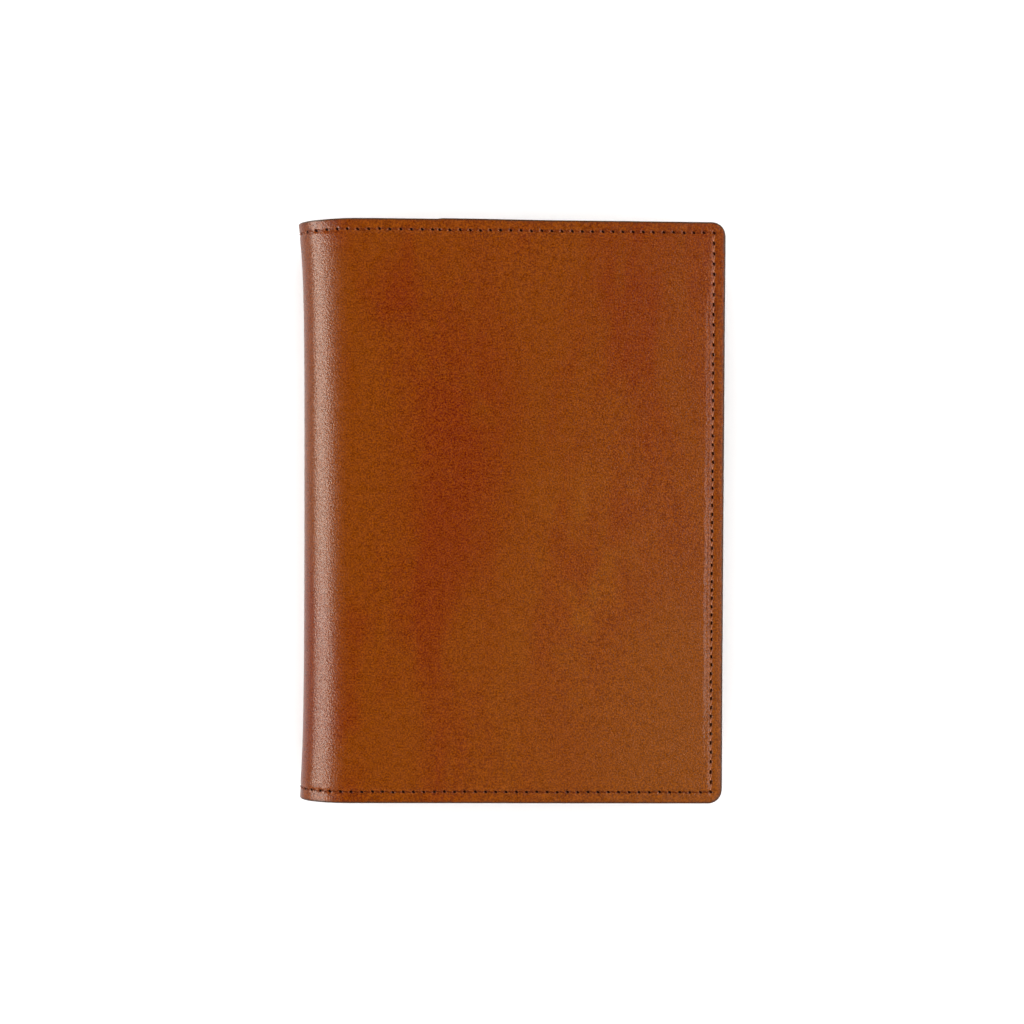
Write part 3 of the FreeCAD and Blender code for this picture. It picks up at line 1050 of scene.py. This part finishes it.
for side, low, high, radii in (
        ("back", -BACK_END, POCKET_DEPTH - BACK_END, (CORNER_R, MOUTH_R)),
        ("front", FRONT_END - POCKET_DEPTH, FRONT_END, (MOUTH_R, CORNER_R))):
    slits = [slit for slit in SLITS if low + MOUTH_CLEAR < slit[0] < high - MOUTH_CLEAR]
    sheet = build_sheet(low, high, HALF_H, radii, pocket_top, pocket_face, POCKET_EDGES,
                        place_leather, outer_size, bottom_slits=slits)
    pocket = new_object(f"pocket_sleeve_{side}", *sheet, POCKET_MATERIAL)
    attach(pocket, f"{side}_cover")
    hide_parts(f"pocket_{side}")


# ------------------------------------ inner stitches
INNER_LIFT = 0.06
# a stitch is left out if any of it is this close to the pocket's mouth, outside or inside
MOUTH_OUTSIDE = 0.5
MOUTH_INSIDE = 0.4


def inner_face(s, y):
    """Depth of the surface that carries the inner stitches: pocket or lining."""
    return np.where(fore_distance(s) < POCKET_DEPTH, pocket_face(s, y), LINING[1])


def over_mouth(start, end):
    """The stitches that would step off the pocket's edge."""
    near, far = sorted(float(fore_distance(point[0])) for point in (start, end))
    return near < POCKET_DEPTH + MOUTH_OUTSIDE and far > POCKET_DEPTH - MOUTH_INSIDE


inner_thread = build_thread(inner_face, True, INNER_LIFT, over_mouth)
three_parts("stitching_inside", inner_thread, THREAD_MATERIAL, CUT_S, "thread_inside",
            closed=False)


# ------------------------------------ notebook
CARD_CUT = CUT_TURN * (NOSE_R - CARD[0])
CARD_CORNERS = (3.0, 3.0)
CARD_EDGES = (0.12, 0.12)
CARD_BENT = 32  # from the card's nose to where it lies flat in the pocket


def card_size(s, y):
    return np.where(np.abs(s) < CARD_QUARTER + CARD_BENT, CURVED, COARSE)


card_sheet = build_sheet(
    -CARD_END, CARD_END, CARD_HALF_H, CARD_CORNERS, flat_depth(CARD[0]),
    flat_depth(CARD[1]), CARD_EDGES, place_card, card_size, cuts=(-CARD_CUT, CARD_CUT))
card_sheet[2]["paint"][:] = 0  # plain cut edges
three_parts("notebook_cover", card_sheet, CARD_MATERIAL, CARD_CUT, "card")


# ------------------------------------ the fold between the halves
BACK_LEAVES = [node for node in frame["nodes"]
               if node.startswith("signature") and node.endswith("_back")]
FOLD_GAP = 0.02
FOLD_X = min(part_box(node)[0][0] for node in BACK_LEAVES) / MM - FOLD_GAP
FOLD_THICK = 0.04
FOLD_HALF_H = 73.2
FOLD_MARKS = (-0.20, -0.10, 0.10, 0.20)  # where the three strips meet, from the middle plane
FOLD_BODIES = ("back_cover", "spine_lower", "spine_upper", "front_cover")
FOLD_STEPS = 18
FOLD_ROWS = 12


def fold_strip(name, low, high):
    """One strip of the paper that lies folded behind the pages."""
    steps, rows = FOLD_STEPS, FOLD_ROWS
    points = [(x, FOLD_HALF_H * (2 * j / rows - 1), MID_Z + low + (high - low) * i / steps)
              for x in (FOLD_X, FOLD_X - FOLD_THICK)
              for i in range(steps + 1) for j in range(rows + 1)]
    faces = []

    def at(side, i, j):
        return (side * (steps + 1) + i) * (rows + 1) + j

    for i in range(steps):
        for j in range(rows):
            faces.append((at(0, i, j), at(0, i, j + 1), at(0, i + 1, j + 1), at(0, i + 1, j)))
            faces.append((at(1, i, j), at(1, i + 1, j), at(1, i + 1, j + 1), at(1, i, j + 1)))
    border = ([(i, 0) for i in range(steps)] + [(steps, j) for j in range(rows)]
              + [(i, rows) for i in range(steps, 0, -1)] + [(0, j) for j in range(rows, 0, -1)])
    for a, b in zip(border, border[1:] + border[:1]):
        faces.append((at(0, *a), at(0, *b), at(1, *b), at(1, *a)))
    piece = new_object(name, np.array(points), faces, {}, PLAIN_PAPER)
    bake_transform(piece)


for (name, _), low, high, bodies in zip(PARTS, FOLD_MARKS, FOLD_MARKS[1:],
                                        zip(FOLD_BODIES, FOLD_BODIES[1:])):
    fold_strip(f"page_fold_{name}", low, high)

for node, thing in frame["nodes"].items():
    if node.startswith(("signature", "endpaper")):
        material = LEAVES_MATERIAL if node.startswith("signature") else PLAIN_PAPER
        thing.data.materials.clear()
        thing.data.materials.append(material)


# ------------------------------------ floor, light, camera
# in metres from here on
FLOOR_HALF = 0.8
FLOOR_STEPS = 8
FLOOR_DROP = 0.00002


def add_floor():
    mesh = bpy.data.meshes.new("floor")
    marks = np.linspace(-FLOOR_HALF, FLOOR_HALF, FLOOR_STEPS + 1)
    points = [(x, y, -FLOOR_DROP) for y in marks for x in marks]
    row = FLOOR_STEPS + 1
    faces = [(j * row + i, j * row + i + 1, (j + 1) * row + i + 1, (j + 1) * row + i)
             for j in range(FLOOR_STEPS) for i in range(FLOOR_STEPS)]
    mesh.from_pydata(points, [], faces)
    mesh.materials.append(floor_surface())
    floor = bpy.data.objects.new("floor", mesh)
    bpy.context.scene.collection.objects.link(floor)


def add_light(name, azimuth, elevation, distance, size, power, glossy,
              colour=(1, 1, 1), roll=0):
    """A soft box aimed at the object; azimuth 0 is towards +X, 90 towards +Y. It lights either
    glossy or diffuse reflection, and roll turns it about the line from the object."""
    light = bpy.data.lights.new(name, "AREA")
    light.shape = "RECTANGLE"
    light.size, light.size_y = size
    light.energy = power
    light.color = colour
    lamp = bpy.data.objects.new(name, light)
    a, e = math.radians(azimuth), math.radians(elevation)
    away = Vector((math.cos(e) * math.cos(a), math.cos(e) * math.sin(a), math.sin(e)))
    lamp.location = away * distance
    aim = away.to_track_quat("Z", "Y") @ Quaternion((0, 0, 1), math.radians(roll))
    lamp.rotation_euler = aim.to_euler()
    lamp.visible_camera = False
    lamp.visible_diffuse = not glossy
    lamp.visible_glossy = glossy
    bpy.context.scene.collection.objects.link(lamp)


add_floor()
for azimuth in (0, 90, 180, 270):
    add_light(f"fill_{azimuth}", azimuth, elevation=38, distance=1.6, size=(1.2, 1.2),
              power=17.4, glossy=False)
add_light("left_box", 180, elevation=32.5, distance=1.3, size=(1.4, 0.30), power=42,
          glossy=True, colour=(1, 0.95, 0.84), roll=24)
add_light("right_box", 0, elevation=53, distance=1.3, size=(1.2, 0.28), power=11, glossy=True)

# a white studio that only the camera sees
world = bpy.data.worlds.new("studio")
bpy.context.scene.world = world
world.use_nodes = True
background = world.node_tree.nodes["Background"].inputs
background["Color"].default_value = (1, 1, 1, 1)
background["Strength"].default_value = 1.0
world.cycles_visibility.diffuse = False
world.cycles_visibility.glossy = False
bpy.context.scene.view_settings.view_transform = "Standard"

CAMERA_PLACE = (-0.00018, -0.00014, 0.4439)
CAMERA_LENS = 53.6
CAMERA_SENSOR = 36.0
CAMERA_ROLL = math.radians(0.39)
camera_data = bpy.data.cameras.new("camera")
camera_data.lens = CAMERA_LENS
camera_data.sensor_width = CAMERA_SENSOR
camera_data.clip_start = 0.01
camera = bpy.data.objects.new("camera", camera_data)
camera.location = CAMERA_PLACE
camera.rotation_euler = (0.0, 0.0, CAMERA_ROLL)
bpy.context.scene.collection.objects.link(camera)
bpy.context.scene.camera = camera
